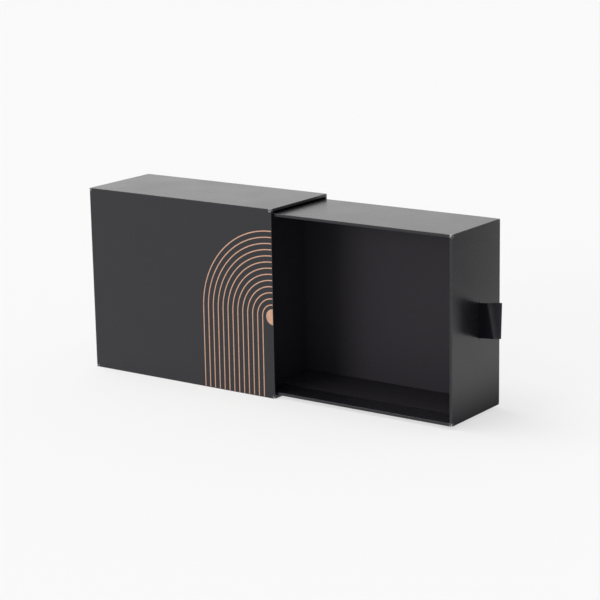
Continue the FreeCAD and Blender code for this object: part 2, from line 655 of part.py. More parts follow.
def tapered_loop(sketch, first_geometry, root, fold, tag):
    """Adds an outline round two circles, one at the sketch's origin, one at the fold, with tangent lines."""
    reach = sheet.get("ribbon_reach") - sheet.get("ribbon_fold")
    slope = (fold - root) / reach
    level = (1 - slope**2) ** 0.5
    up = [(-slope * root, level * root), (reach - slope * fold, level * fold)]
    down = [(x, -y) for x, y in up]
    centre_root, centre_fold = FreeCAD.Vector(0, 0, 0), FreeCAD.Vector(reach, 0, 0)
    root_arc = Part.Arc(
        FreeCAD.Vector(*up[0], 0), centre_root + FreeCAD.Vector(-root, 0, 0), FreeCAD.Vector(*down[0], 0)
    )
    fold_arc = Part.Arc(
        FreeCAD.Vector(*down[1], 0), centre_fold + FreeCAD.Vector(fold, 0, 0), FreeCAD.Vector(*up[1], 0)
    )
    n = first_geometry
    sketch.addGeometry(root_arc, False)
    sketch.addGeometry(fold_arc, False)
    sketch.addGeometry(Part.LineSegment(FreeCAD.Vector(*up[0], 0), FreeCAD.Vector(*up[1], 0)), False)
    sketch.addGeometry(Part.LineSegment(FreeCAD.Vector(*down[0], 0), FreeCAD.Vector(*down[1], 0)), False)
    meetings = ((n, 1, n + 2, 1), (n + 1, 2, n + 2, 2), (n, 2, n + 3, 1), (n + 1, 1, n + 3, 2))
    for arc, arc_end, line, line_end in meetings:
        sketch.addConstraint(Sketcher.Constraint("Tangent", arc, arc_end, line, line_end))
    sketch.addConstraint(Sketcher.Constraint("Coincident", n, 3, -1, 1))
    sketch.addConstraint(Sketcher.Constraint("PointOnObject", n + 1, 3, -1))
    inset = "" if tag == "outer" else f" - {cell('ribbon')}"
    sizes = (
        ("root", Sketcher.Constraint("Radius", n, root), f"{cell('ribbon_root')}{inset}"),
        ("fold", Sketcher.Constraint("Radius", n + 1, fold), f"{cell('ribbon_fold')}{inset}"),
        (
            "reach",
            Sketcher.Constraint("DistanceX", n, 3, n + 1, 3, reach),
            f"{cell('ribbon_reach')} - {cell('ribbon_fold')}",
        ),
    )
    for label, constraint, expression in sizes:
        number = sketch.addConstraint(constraint)
        sketch.renameConstraint(number, f"{tag}_{label}")
        sketch.setExpression(f".Constraints.{tag}_{label}", expression)


def ribbon_loop():
    """The pull: one ribbon folded back on itself, pinched at the tray's face and round at the fold."""
    body = doc.addObject("PartDesign::Body", "ribbon_loop")
    body.Label = "ribbon_loop"
    sketch = body.newObject("Sketcher::SketchObject", "ribbon_loop_outline")
    sketch.AttachmentSupport = [(body_plane(body, "XY_Plane"), "")]
    sketch.MapMode = "FlatFace"
    root, fold, ply = sheet.get("ribbon_root"), sheet.get("ribbon_fold"), sheet.get("ribbon")
    tapered_loop(sketch, 0, root, fold, "outer")
    tapered_loop(sketch, 4, root - ply, fold - ply, "inner")
    pad(body, "ribbon_loop_pad", sketch, cell("ribbon_width"))
    return bind(body, x=f"({TRAY_X1} + {cell('ribbon_stand_off')})", y=SLOT_Y, z=RIBBON_Z0)


# ----------------------------------------------------------------------------------------------------
# Assemble, check and export
# ----------------------------------------------------------------------------------------------------
def build():
    """Makes every sub-part and returns them."""
    parts = sleeve_boards()
    tapes = sleeve_tapes()
    parts += [tapes, sleeve_wrap(tapes), sleeve_base_paper(tapes), sleeve_end_sheet(), *sleeve_linings()]
    parts += [foil_arches(), foil_disc()]
    parts += tray_boards()
    tapes = tray_tapes()
    parts += [tapes, tray_wrap(tapes), tray_wall_lining(), tray_floor_lining()]
    parts += [ribbon_tail("ribbon_tail_front", -1), ribbon_tail("ribbon_tail_rear", 1)]
    parts += [ribbon_patch(), ribbon_loop()]
    return parts


def check(parts):
    """Stops the build if any object failed or any sub-part isn't a sound set of solids."""
    for item in doc.Objects:
        if "Invalid" in item.State or "Error" in item.State:
            raise RuntimeError(f"{item.Label} failed: {item.State}")
    for part in parts:
        if part.Shape.isNull() or not part.Shape.isValid() or not part.Shape.Solids:
            raise RuntimeError(f"{part.Label} has no valid solid")
        if part.Shape.Volume <= 0:
            raise RuntimeError(f"{part.Label} has no volume")


def export(parts):
    os.makedirs("parts", exist_ok=True)
    for part in parts:
        part.Shape.exportStep(f"parts/{part.Label}.step")
        box = part.Shape.BoundBox
        print(
            f"{part.Label:22s} solids {len(part.Shape.Solids):3d}  volume {part.Shape.Volume:10.2f} mm3  "
            f"x {box.XMin:7.2f} {box.XMax:7.2f}  y {box.YMin:6.2f} {box.YMax:6.2f}  "
            f"z {box.ZMin:6.2f} {box.ZMax:6.2f}"
        )


pieces = build()
doc.recompute()
check(pieces)
export(pieces)
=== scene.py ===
# %% [markdown]
# # A sliding drawer gift box
# A rigid gift box is greyboard covered in black paper. It has two halves: a sleeve, closed at one end, and a tray
# that slides out of the sleeve's mouth when the ribbon is pulled. The boards, tapes, linings and foil are already
# there as exact solids, so this lesson loads them as a fixed frame. It then makes the parts that a solid model can't
# show well: covering paper that rolls over the rims, a woven satin ribbon, and the finish of every surface.

import math

import bmesh
import bpy
from mathutils import Matrix, Vector


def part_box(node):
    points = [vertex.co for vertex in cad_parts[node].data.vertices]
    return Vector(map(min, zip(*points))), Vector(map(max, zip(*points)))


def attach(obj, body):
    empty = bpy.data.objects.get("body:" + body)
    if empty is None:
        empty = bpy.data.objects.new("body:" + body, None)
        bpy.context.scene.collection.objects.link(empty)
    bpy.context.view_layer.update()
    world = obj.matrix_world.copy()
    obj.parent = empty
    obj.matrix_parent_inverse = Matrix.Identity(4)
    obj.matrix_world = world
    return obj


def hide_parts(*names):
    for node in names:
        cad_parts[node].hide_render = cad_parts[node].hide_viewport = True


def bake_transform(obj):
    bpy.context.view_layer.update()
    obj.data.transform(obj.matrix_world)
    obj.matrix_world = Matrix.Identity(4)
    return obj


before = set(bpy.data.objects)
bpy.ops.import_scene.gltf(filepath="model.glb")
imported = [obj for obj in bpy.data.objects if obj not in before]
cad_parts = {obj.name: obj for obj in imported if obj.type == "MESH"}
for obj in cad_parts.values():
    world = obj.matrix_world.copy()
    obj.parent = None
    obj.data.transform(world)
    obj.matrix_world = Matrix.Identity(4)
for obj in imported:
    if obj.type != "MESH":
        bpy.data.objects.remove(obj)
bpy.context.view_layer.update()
scene = bpy.context.scene
MM = 0.001
print("solids in the frame:", len(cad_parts))

# %% [markdown]
# ## The camera
# The box is looked at from the front right and a little above, through a long lens, so its edges stay almost
# parallel. Three turns set the view: round the upright, then down from the horizon, then a slight roll. They are
# multiplied as matrices, which is easier to read back than a tracking constraint.

# %% Place the camera
CAMERA_PLACE = Vector((0.91459, -1.16012, 0.41137))
CAMERA_TURN, CAMERA_DIP, CAMERA_ROLL = (math.radians(angle) for angle in (35.602, 13.587, -1.052))
SENSOR_WIDTH = 36.0
LENS = 120.45

camera_data = bpy.data.cameras.new("camera")
camera_data.sensor_width = SENSOR_WIDTH
camera_data.lens = LENS
camera = bpy.data.objects.new("camera", camera_data)
scene.collection.objects.link(camera)
turned = Matrix.Rotation(CAMERA_TURN, 4, "Z")
dipped = Matrix.Rotation(math.radians(90) - CAMERA_DIP, 4, "X")
rolled = Matrix.Rotation(CAMERA_ROLL, 4, "Z")
camera.matrix_world = Matrix.Translation(CAMERA_PLACE) @ turned @ dipped @ rolled
scene.camera = camera
print("camera looks along", [round(v, 3) for v in camera.matrix_world.to_3x3() @ Vector((0, 0, -1))])

# %% [markdown]
# ## The studio
# Black paper shows almost nothing of its own colour. What is seen is the reflection of a white room, stronger on
# the faces that are seen at a flat angle. So the room comes first. A plain white sky would light every side alike,
# and the box would look cut out, so the sky is made brighter on the left than on the right, as if one wall of the
# room were a window.

# %% A white sky that is brighter on the left
SKY_MIDDLE = 0.93
SKY_SLOPE = 0.36
SKY_LEFT, SKY_RIGHT = SKY_MIDDLE + SKY_SLOPE, SKY_MIDDLE - SKY_SLOPE

scene.view_settings.view_transform = "Standard"
world = bpy.data.worlds.new("white_room")
scene.world = world
world.use_nodes = True
sky_tree = world.node_tree
sky = sky_tree.nodes["Background"]
sky.inputs["Color"].default_value = (1.0, 0.998, 0.996, 1.0)
sky_place = sky_tree.nodes.new("ShaderNodeTexCoord")
sky_parts = sky_tree.nodes.new("ShaderNodeSeparateXYZ")
sky_range = sky_tree.nodes.new("ShaderNodeMapRange")
for key, value in (("From Min", -1), ("From Max", 1), ("To Min", SKY_LEFT), ("To Max", SKY_RIGHT)):
    sky_range.inputs[key].default_value = value
sky_tree.links.new(sky_place.outputs["Object"], sky_parts.inputs["Vector"])
sky_tree.links.new(sky_parts.outputs["X"], sky_range.inputs["Value"])
sky_tree.links.new(sky_range.outputs["Result"], sky.inputs["Strength"])
print("sky strength from", SKY_RIGHT, "to", SKY_LEFT)

# %% [markdown]
# The first lamp stands for the window. A sun lamp lights the wide floor evenly, where a lamp close by would leave a
# bright patch. Its angle is how large it looks, and at 40 degrees it gives shadows with no hard edge.

# %% A very soft lamp from the left
WINDOW_AIM = Vector((0.42, 0.10, -1.0))
WINDOW_STRENGTH = 1.9
WINDOW_ANGLE = math.radians(40)

window = bpy.data.lights.new("window", "SUN")
window.energy = WINDOW_STRENGTH
window.angle = WINDOW_ANGLE
window_holder = bpy.data.objects.new("window", window)
scene.collection.objects.link(window_holder)
window_holder.matrix_world = WINDOW_AIM.to_track_quat("-Z", "Y").to_matrix().to_4x4()
print("window strength", window.energy)

# %% [markdown]
# A second soft lamp stands low in front, a little to the left, and shines into the open tray. The sleeve's mouth
# hides it from the left end of the tray's floor, which gives the soft shadow there. Glossy rays don't see it.

# %% A low soft box in front
FRONT_AIM = Vector((0.33, 0.94, -0.17))
FRONT_STRENGTH = 2.2
FRONT_ANGLE = math.radians(25)

front = bpy.data.lights.new("front", "SUN")
front.energy = FRONT_STRENGTH
front.angle = FRONT_ANGLE
front_holder = bpy.data.objects.new("front", front)
scene.collection.objects.link(front_holder)
front_holder.matrix_world = FRONT_AIM.to_track_quat("-Z", "Y").to_matrix().to_4x4()
front_holder.visible_glossy = False
print("front strength", front.energy)

# %% [markdown]
# ## Starting each step with nothing selected
# An operator acts on everything that is selected, and the loaded solids are selected at first. So each step begins by
# leaving edit mode and clearing the selection.


# %% A helper that clears the selection
def nothing_selected():
    """Leaves edit mode and selects nothing, so that the next operator acts only on what it is given."""
    if bpy.context.object and bpy.context.object.mode != "OBJECT":
        bpy.ops.object.mode_set(mode="OBJECT")
    bpy.ops.object.select_all(action="DESELECT")


nothing_selected()
print("selected objects:", len(bpy.context.selected_objects))

# %% [markdown]
# ## Building materials with nodes
# Every finish here is a node tree. Short helpers keep the trees readable: they start a material, add a node with its
# settings, join two sockets, and make the nodes that come back most often. Patterns read Object coordinates, which
# are metres on the real box, so a grain of half a millimetre is written as half a millimetre.


# %% Helpers for node trees
def new_material(name):
    """An empty node material with its shader; returns the tree and the shader node."""
    material = bpy.data.materials.new(name)
    material.use_nodes = True
    return material, material.node_tree, material.node_tree.nodes["Principled BSDF"]


def add(tree, kind, settings=(), **values):
    """A node of a kind, with its settings and the values of its unlinked sockets."""
    made = tree.nodes.new(kind)
    for key, value in dict(settings).items():
        setattr(made, key, value)
    for key, value in values.items():
        made.inputs[key.replace("_", " ")].default_value = value
    return made


def join(tree, source, output, target, socket):
    """Links an output, by its name or identifier, to an input."""
    made = next(o for o in source.outputs if output in (o.identifier, o.name))
    tree.links.new(made, target.inputs[socket])


def calc(tree, operation, first, second=None):
    """A Math node on two values, each a number or a (node, output) pair; returns a (node, output) pair."""
    node = add(tree, "ShaderNodeMath", {"operation": operation})
    for slot, value in enumerate((first, second)):
        if isinstance(value, tuple):
            join(tree, value[0], value[1], node, slot)
        elif value is not None:
            node.inputs[slot].default_value = value
    return node, "Value"


def noise(tree, scale, detail=2.0, roughness=0.5, stretch=(1, 1, 1)):
    """Noise over Object coordinates, finer along an axis whose stretch is larger."""
    place = add(tree, "ShaderNodeTexCoord")
    mapping = add(tree, "ShaderNodeMapping", Scale=stretch)
    join(tree, place, "Object", mapping, "Vector")
    texture = add(tree, "ShaderNodeTexNoise", Scale=scale, Detail=detail, Roughness=roughness)
    join(tree, mapping, "Vector", texture, "Vector")
    return texture, "Fac"


def spread(tree, value, low, high, to_low, to_high):
    """Maps a value from one range to another and clamps it."""
    node = add(tree, "ShaderNodeMapRange", From_Min=low, From_Max=high, To_Min=to_low, To_Max=to_high)
    join(tree, value[0], value[1], node, "Value")
    return node, "Result"


def colour_between(tree, factor, first, second):
    """A colour Mix; first and second are colours or (node, output) pairs."""
    node = add(tree, "ShaderNodeMix", {"data_type": "RGBA"})
    sockets = {socket.identifier: socket for socket in node.inputs}
    tree.links.new(output_of(factor), sockets["Factor_Float"])
    for key, value in (("A_Color", first), ("B_Color", second)):
        if isinstance(value[0], float):
            sockets[key].default_value = (*value, 1.0)
        else:
            tree.links.new(output_of(value), sockets[key])
    return node, "Result_Color"


def output_of(pair):
    """The output socket that a (node, output) pair names, by its name or its identifier."""
    node, name = pair
    return next(socket for socket in node.outputs if name in (socket.identifier, socket.name))


def bump(tree, height, strength, distance, under=None):
    """A Bump node on a height, laid over another bump if one is given."""
    node = add(tree, "ShaderNodeBump", Strength=strength, Distance=distance)
    join(tree, height[0], height[1], node, "Height")
    if under:
        join(tree, under, "Normal", node, "Normal")
    return node


print("material helpers ready")

# %% [markdown]
# ## Where paper wears, and where its edges get a painted highlight
# Covered board wears first along its edges, and most at its corners, where the folded paper has cracked and shows
# its white core. That could be painted by hand, but the sleeve and the tray are boxes, so it can be worked out: the
# distance to each pair of faces is known from the coordinates, an edge is where two of the three distances are
# small, and a corner is where all three are. The middle one of the three finds edges, the largest finds corners.
# The lighter line along the edges is only partly wear: it is also a painted highlight, the light that a rounded
# fold would catch.


# %% How deep a point lies inside a box, along each axis
def face_depths(tree, low, high):
    """Three values: how deep a point lies below the nearer face of each pair, in millimetres."""
    place = add(tree, "ShaderNodeTexCoord")
    parts = add(tree, "ShaderNodeSeparateXYZ")
    join(tree, place, "Object", parts, "Vector")
    depths = []
    for axis, least, most in zip("XYZ", low, high):
        middle, half = (least + most) / 2, (most - least) / 2
        off_middle = calc(tree, "ABSOLUTE", calc(tree, "SUBTRACT", (parts, axis), middle))
        depths.append(calc(tree, "MULTIPLY", calc(tree, "SUBTRACT", half, off_middle), 1 / MM))
    return depths


# %% Masks for edges, corners and the mitred folds on a rim
MITRE_LINE = (0.05, 0.22)
RIM_CORNER = (2.2, 2.5)
RIM_DEPTH = (0.3, 0.8)


def edge_and_corner(tree, depths, edge_width, corner_width):
    """Two masks, 1 on an edge or a corner and 0 away from it; the widths are in millimetres."""
    a, b, c = depths
    larger_ab = calc(tree, "MAXIMUM", a, b)
    smaller_ab = calc(tree, "MINIMUM", a, b)
    middle = calc(tree, "MAXIMUM", smaller_ab, calc(tree, "MINIMUM", larger_ab, c))
    largest = calc(tree, "MAXIMUM", larger_ab, c)
    return (
        spread(tree, middle, 0.0, edge_width, 1.0, 0.0),
        spread(tree, largest, 0.0, corner_width, 1.0, 0.0),
    )


def mitre_lines(tree, depths, rim_axis):
    """1 on the diagonal folds at the corners of the rim that faces along an axis; the limits are in millimetres."""
    first, second = (depth for number, depth in enumerate(depths) if number != rim_axis)
    off_diagonal = calc(tree, "ABSOLUTE", calc(tree, "SUBTRACT", first, second))
    line = spread(tree, off_diagonal, *MITRE_LINE, 1.0, 0.0)
    on_corner = spread(tree, calc(tree, "MAXIMUM", first, second), *RIM_CORNER, 1.0, 0.0)
    on_rim = spread(tree, depths[rim_axis], *RIM_DEPTH, 1.0, 0.0)
    return calc(tree, "MULTIPLY", line, calc(tree, "MULTIPLY", on_corner, on_rim))


print("wear masks ready")

# %% [markdown]
# ## Black covering paper
# The cover is coated art paper under a matt film. Its pigment is nearly pure black, a little blue, and the film
# gives a soft, low mirror. Three scales of relief sit in it: the paper's own fibre, a fine orange peel from the
# film, and a slow swell where the damp glue pulled the sheet. A rub of lighter grey follows the edges, partly wear
# and partly a painted highlight, turns white in flecks at the corners, and each corner of a rim has the diagonal line
# where the paper was folded over itself.


# %% The covering paper as a function, because the sleeve and the tray each wear, and get a painted highlight, at their own edges
# The first width is the lighter line along each edge, partly wear and partly a painted highlight; the second is the
# corner flecks.
EDGE_WEAR_AND_HIGHLIGHT, CORNER_WEAR = 0.50, 2.6
PAPER_BLACKS = ((0.0062, 0.0058, 0.0080), (0.0088, 0.0083, 0.0106))
PAPER_CORE = (0.60, 0.59, 0.58)


def covering_paper(name, low, high, rim_axis, gloss=0.27):
    """Black coated paper whose edges are lighter, partly from use and partly as a painted highlight, for a box
    between two corners whose rim faces along an axis.
    """
    material, tree, shader = new_material(name)
    depths = face_depths(tree, low, high)
    edge, corner = edge_and_corner(tree, depths, EDGE_WEAR_AND_HIGHLIGHT, CORNER_WEAR)
    mitre = mitre_lines(tree, depths, rim_axis)

    patches = noise(tree, 700, detail=4, roughness=0.6)
    # The rub along the edges is partly wear and partly a painted highlight on the rounded folds.
    rub_and_edge_highlight = calc(tree, "MULTIPLY", edge, spread(tree, patches, 0.38, 0.70, 0.10, 1.0))
    chips = spread(tree, noise(tree, 1300, detail=3), 0.49, 0.57, 0.0, 1.0)
    flecks = calc(tree, "MULTIPLY", calc(tree, "ADD", corner, calc(tree, "MULTIPLY", mitre, 0.5)), chips)
    wear_and_edge_highlight = calc(tree, "MINIMUM", calc(tree, "ADD", calc(tree, "MULTIPLY", rub_and_edge_highlight, 0.07), flecks), 1.0)

    cloud = noise(tree, 60, detail=5, roughness=0.7)
    black = colour_between(tree, cloud, *PAPER_BLACKS)
    # The colour goes towards the white core where the paper is worn, and a little along every edge, where it is a
    # painted highlight.
    worn_and_highlit = colour_between(tree, wear_and_edge_highlight, black, PAPER_CORE)
    join(tree, *worn_and_highlit, shader, "Base Color")

    film = spread(tree, noise(tree, 30, detail=3, roughness=0.5), 0.3, 0.7, gloss - 0.02, gloss + 0.02)
    dulled = calc(tree, "ADD", film, calc(tree, "MULTIPLY", wear_and_edge_highlight, 0.3))
    join(tree, dulled[0], dulled[1], shader, "Roughness")
    shader.inputs["IOR"].default_value = 1.46

    swell = bump(tree, noise(tree, 9, detail=1), 0.16, 0.002)
    peel = bump(tree, noise(tree, 300, detail=1), 0.05, 0.0001, swell)
    fibre = bump(tree, noise(tree, 2600, detail=3, roughness=0.65), 0.06, 0.00004, peel)
    folded = bump(tree, calc(tree, "SUBTRACT", 1.0, mitre), 0.5, 0.0001, fibre)
    join(tree, folded, "Normal", shader, "Normal")
    return material


def dress(piece, material):
    """Gives a piece or a CAD node one material in every slot."""
    if not piece.data.materials:
        piece.data.materials.append(material)
    for index in range(len(piece.material_slots)):
        piece.material_slots[index].material = material


sleeve_low, sleeve_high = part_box("sleeve_wrap")
tray_low, tray_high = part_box("tray_wrap")
sleeve_paper = covering_paper("sleeve_black_paper", sleeve_low, sleeve_high, rim_axis=0)
tray_paper = covering_paper("tray_black_paper", tray_low, tray_high, rim_axis=1)
print("papers:", sleeve_paper.name, tray_paper.name)

# %% [markdown]
# ## The sleeve's cover
# One sheet covers the sleeve. It wraps the four long sides, folds over the closed end, rolls over the rim of the
# mouth and turns in. It could be a solidified box, but the fold at the rim is what the eye finds, so it is drawn
# the way the paper runs: a cube loses its two ends, an inset makes the rim, and an extrude makes the turn-in.


# %% Helpers: a cube between two corners, and a selection by rule
def cube_between(name, low, high):
    """A cube primitive stretched between two corners, its place kept in its mesh."""
    nothing_selected()
    low, high = Vector(low), Vector(high)
    bpy.ops.mesh.primitive_cube_add(size=1, location=(low + high) / 2, scale=high - low)
    piece = bpy.context.object
    piece.name = piece.data.name = name
    bpy.ops.object.transform_apply(location=True, rotation=True, scale=True)
    return piece


def pick(piece, kind, wanted):
    """In edit mode, selects the faces, edges or points that a rule accepts; returns how many."""
    bpy.ops.mesh.select_all(action="DESELECT")
    bpy.ops.mesh.select_mode(type=kind)
    mesh = bmesh.from_edit_mesh(piece.data)
    items = {"FACE": mesh.faces, "EDGE": mesh.edges, "VERT": mesh.verts}[kind]
    chosen = [item for item in items if wanted(item)]
    for item in chosen:
        item.select_set(True)
    mesh.select_flush_mode()
    bmesh.update_edit_mesh(piece.data)
    return len(chosen)


def facing(normal, least=0.9):
    """A rule for faces whose normal points one way."""
    return lambda face: face.normal.dot(Vector(normal)) > least


def shift(by):
    """Moves the selected points."""
    bpy.ops.transform.translate(value=by)


def extrude(by):
    """Extrudes the selected faces and moves them."""
    bpy.ops.mesh.extrude_region_move(TRANSFORM_OT_translate={"value": by})


def apply_modifier(piece, kind, **settings):
    """Adds a modifier with its settings and applies it at once."""
    nothing_selected()
    piece.select_set(True)
    bpy.context.view_layer.objects.active = piece
    modifier = piece.modifiers.new(kind.lower(), kind)
    for key, value in settings.items():
        setattr(modifier, key, value)
    bpy.ops.object.modifier_apply(modifier=modifier.name)


def edit(piece):
    """Opens one piece in edit mode, with every other object left alone."""
    nothing_selected()
    piece.select_set(True)
    bpy.context.view_layer.objects.active = piece
    bpy.ops.object.mode_set(mode="EDIT")


print("modelling helpers ready")

# %% Fold the sleeve's sheet: rim, turn-in and end flaps
CLOSE = 0.01 * MM
SQUARE_ON = 0.99
PAPER = 0.17 * MM
WALL = 2.14 * MM
MOUTH_TURN_IN = 18 * MM
END_FLAP = 15 * MM

sleeve_cover = cube_between("sleeve_cover", sleeve_low, sleeve_high)
edit(sleeve_cover)
pick(sleeve_cover, "FACE", facing((1, 0, 0)))
bpy.ops.mesh.inset(thickness=WALL)
extrude((-MOUTH_TURN_IN, 0, 0))
bpy.ops.mesh.delete(type="FACE")
pick(sleeve_cover, "FACE", facing((-1, 0, 0)))
bpy.ops.mesh.inset(thickness=END_FLAP)
bpy.ops.mesh.delete(type="FACE")
print("sleeve cover faces:", len(bmesh.from_edit_mesh(sleeve_cover.data).faces))

# %% [markdown]
# The sheet's two long edges meet in a seam low on the rear broad side. Bisecting that face three times makes a thin
# strip, and its middle line is pushed in by less than a tenth of a millimetre. It is enough to catch the light.

# %% Round the folds, press in the seam and give the paper its thickness
FOLD_RADIUS = 0.32 * MM
FOLD_SEGMENTS = 3
FOLD_FROM = math.radians(50)
SEAM_HEIGHT = 12 * MM
SEAM_HALF = 0.2 * MM
SEAM_DEPTH = 0.07 * MM


def on_rear_panel(face):
    """True for a face of the rear broad side."""
    return face.normal.y > SQUARE_ON and face.calc_center_median().y > sleeve_high[1] - FOLD_RADIUS


nothing_selected()
fold = {"width": FOLD_RADIUS, "segments": FOLD_SEGMENTS, "limit_method": "ANGLE", "angle_limit": FOLD_FROM}
apply_modifier(sleeve_cover, "BEVEL", use_clamp_overlap=False, **fold)
edit(sleeve_cover)
for offset in (-SEAM_HALF, 0.0, SEAM_HALF):
    pick(sleeve_cover, "FACE", on_rear_panel)
    bpy.ops.mesh.bisect(plane_co=(0, 0, SEAM_HEIGHT + offset), plane_no=(0, 0, 1))


def on_seam(vert):
    """True for a point on the middle line of the seam."""
    return vert.co.y > sleeve_high[1] - CLOSE and abs(vert.co.z - SEAM_HEIGHT) < CLOSE


seam_points = pick(sleeve_cover, "VERT", on_seam)
shift((0, -SEAM_DEPTH, 0))
apply_modifier(sleeve_cover, "SOLIDIFY", thickness=PAPER, offset=-1, use_even_offset=True)
dress(sleeve_cover, sleeve_paper)
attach(sleeve_cover, "sleeve")
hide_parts("sleeve_wrap", "sleeve_base_paper")
print("seam points", seam_points, "cover faces", len(sleeve_cover.data.polygons))

# %% [markdown]
# ## The tray's cover
# The tray's sheet starts on the outside of its floor, climbs the walls, rolls over the rim and turns in, and the
# lining paper takes over from there. The same cube, inset and extrude make it. Where the sheet's end flap lies under
# the top and base panels, the paper shows a faint step, so those panels are bisected near the pull end and the strip
# is lifted by less than a tenth of a millimetre.

# %% Fold the tray's sheet over its rim
TRAY_TURN_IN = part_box("tray_wall_lining")[0][1] - tray_low[1]

tray_cover = cube_between("tray_cover", tray_low, tray_high)
edit(tray_cover)
pick(tray_cover, "FACE", facing((0, -1, 0)))
bpy.ops.mesh.inset(thickness=WALL)
extrude((0, TRAY_TURN_IN, 0))
bpy.ops.mesh.delete(type="FACE")
nothing_selected()
apply_modifier(tray_cover, "BEVEL", use_clamp_overlap=False, **fold)
print("tray cover faces:", len(tray_cover.data.polygons))

# %% Lift the strips that lie over the end flaps
STEP_INSET = 16 * MM
STEP_SLOPE = 0.5 * MM
STEP_LIFT = 0.08 * MM


def on_panel(face, side, outer):
    """True for a face outside the top panel (side 1) or the base panel (side -1)."""
    return face.normal.z * side > SQUARE_ON and abs(face.calc_center_median().z - outer) < FOLD_RADIUS


edit(tray_cover)
for side, outer in ((1, tray_high[2]), (-1, tray_low[2])):
    for inset in (STEP_INSET, STEP_INSET - STEP_SLOPE):
        pick(tray_cover, "FACE", lambda f: on_panel(f, side, outer))
        bpy.ops.mesh.bisect(plane_co=(tray_high[0] - inset, 0, 0), plane_no=(1, 0, 0))
    step_edge = tray_high[0] - STEP_INSET + STEP_SLOPE / 2
    count = pick(tray_cover, "VERT", lambda v: v.co.x > step_edge and abs(v.co.z - outer) < 0.5 * FOLD_RADIUS)
    shift((0, 0, side * STEP_LIFT))
    print("step side", side, "points lifted", count)

# %% [markdown]
# The ribbon passes through a slot that is cut through paper and board. Four bisecting planes draw the slot's outline
# on the pull end, the small face is deleted, and its edges are extruded inwards: the paper that is pushed into the
# slot lines its walls.

# %% Cut the ribbon's slot
loop_low, loop_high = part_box("ribbon_loop")
tail_low, tail_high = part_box("ribbon_tail_front")
SLOT_MIDDLE = Vector((0, tail_high[1], (loop_low[2] + loop_high[2]) / 2))
SLOT_HALF_GAP = 0.42 * MM
SLOT_END_ROOM = 1.45 * MM
SLOT_HALF = Vector((0, SLOT_HALF_GAP, (loop_high[2] - loop_low[2]) / 2 + SLOT_END_ROOM))
wall_outside, wall_inside = tray_high[0], tray_high[0] - WALL


def on_pull_wall(face):
    """True for a face on the outside of the pull wall."""
    return face.normal.x > SQUARE_ON and abs(face.calc_center_median().x - wall_outside) < CLOSE


def in_slot(point, room=CLOSE):
    """True for a point within the slot's outline, or as near to it as the room given."""
    return all(abs(point[i] - SLOT_MIDDLE[i]) < SLOT_HALF[i] + room for i in (1, 2))


edit(tray_cover)
for axis, way in ((1, (0, 1, 0)), (2, (0, 0, 1))):
    for side in (-1, 1):
        pick(tray_cover, "FACE", on_pull_wall)
        cut_at = Vector((0, 0, 0))
        cut_at[axis] = SLOT_MIDDLE[axis] + side * SLOT_HALF[axis]
        bpy.ops.mesh.bisect(plane_co=cut_at, plane_no=way)
pick(tray_cover, "FACE", lambda f: on_pull_wall(f) and in_slot(f.calc_center_median(), 0))
bpy.ops.mesh.delete(type="FACE")
slot_edges = pick(
    tray_cover, "EDGE", lambda e: all(in_slot(v.co) and v.co.x > wall_outside - CLOSE for v in e.verts)
)
bpy.ops.mesh.extrude_edges_move(TRANSFORM_OT_translate={"value": (PAPER - WALL, 0, 0)})
apply_modifier(tray_cover, "SOLIDIFY", thickness=PAPER, offset=-1, use_even_offset=True)
dress(tray_cover, tray_paper)
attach(tray_cover, "tray")
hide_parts("tray_wrap")
print("slot edges extruded:", slot_edges, "cover faces", len(tray_cover.data.polygons))

# %% [markdown]
# ## The pull ribbon
# The ribbon is one strip of black satin. Its middle makes a loop outside the pull end, and its two tails go through
# the slot and are glued flat on the inside of the board. It could be cut from a cube, but the strip is drawn the
# way a hand folds it: one edge, as long as the ribbon is wide, is extruded step by step along the strip's path. The
# distance along the strip is kept on every point, because the satin's threads follow it.

# %% The path of the strip, seen from above
RIBBON = 0.30 * MM
RIBBON_WIDTH = loop_high[2] - loop_low[2]
TAIL_LINE = (tail_low[0] + tray_high[0] - WALL - PAPER) / 2
ROOT_HALF = 0.17 * MM
LOOP_REACH = 17.3 * MM
LOOP_HALF = 0.85 * MM
FIRST_LEAN = math.radians(-5)
RISE = 0.11
TAIL_STEPS = (13.5, 9, 5, 2.5, 1.2, 0.6)
TAIL_TURN = (0.12 * MM, 0.28 * MM)
LOOP_STEPS = (0.0, 1.5, 3, 4.5, 6, 7.5, 9, 10.5, 12, 13.5, 14.8, 15.8)
FOLD_STEPS = 8

root = Vector((wall_outside, SLOT_MIDDLE.y, 0))
lean_way = Vector((math.cos(FIRST_LEAN), math.sin(FIRST_LEAN), 0))
across_way = Vector((-lean_way.y, lean_way.x, 0))


def half_gap(reach):
    """How far a ply stands off the loop's middle line, at a reach from the wall."""
    along = min(max(reach / LOOP_REACH, 0.0), 1.0)
    return ROOT_HALF + (LOOP_HALF - ROOT_HALF) * along ** 1.5


